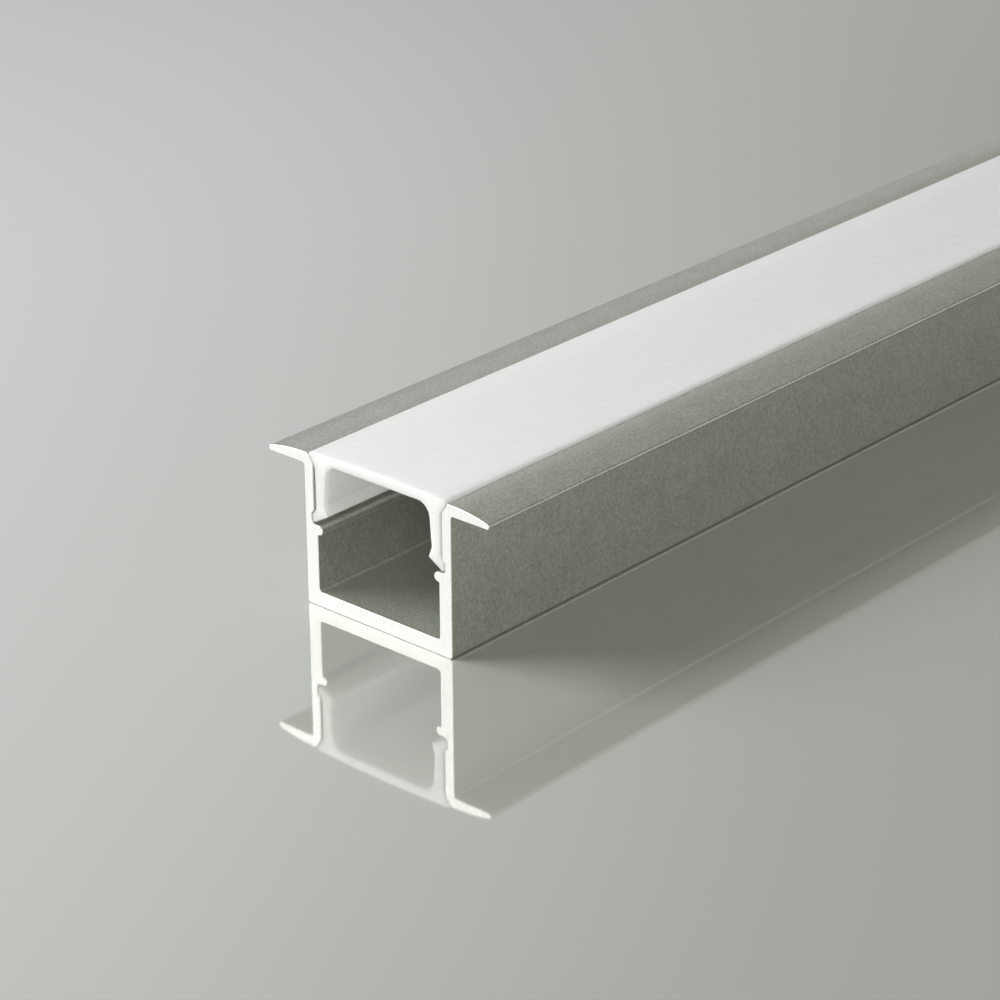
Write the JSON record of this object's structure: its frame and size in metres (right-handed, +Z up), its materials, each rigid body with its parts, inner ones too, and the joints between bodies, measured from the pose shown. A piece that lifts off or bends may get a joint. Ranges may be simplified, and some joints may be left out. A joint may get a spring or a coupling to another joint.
{
  "type": "recessed led strip profile",
  "caption": "Short cut length of recessed LED strip profile: a flanged aluminium channel with snap grooves, closed by a barbed opal diffuser that slides along it.",
  "frame": {"origin": "under the middle of the channel's base, halfway along the cut length", "axes": "+X across the profile, +Y along the extrusion, +Z up, out of the lit face"},
  "size_m": [0.0254, 0.2, 0.0147],
  "materials": {
    "anodised_aluminium": "matt silver anodised, with bare saw-cut ends",
    "opal_polycarbonate": "smooth opal white, satin"
  },
  "bodies": {
    "channel": {"channel": "anodised_aluminium"},
    "diffuser": {"diffuser": "opal_polycarbonate"}
  },
  "joints": [
    {"name": "diffuser_slide", "type": "slide", "parent": "channel", "child": "diffuser", "axis": [0, 1, 0], "range_m": [-0.2, 0.2]}
  ]
}
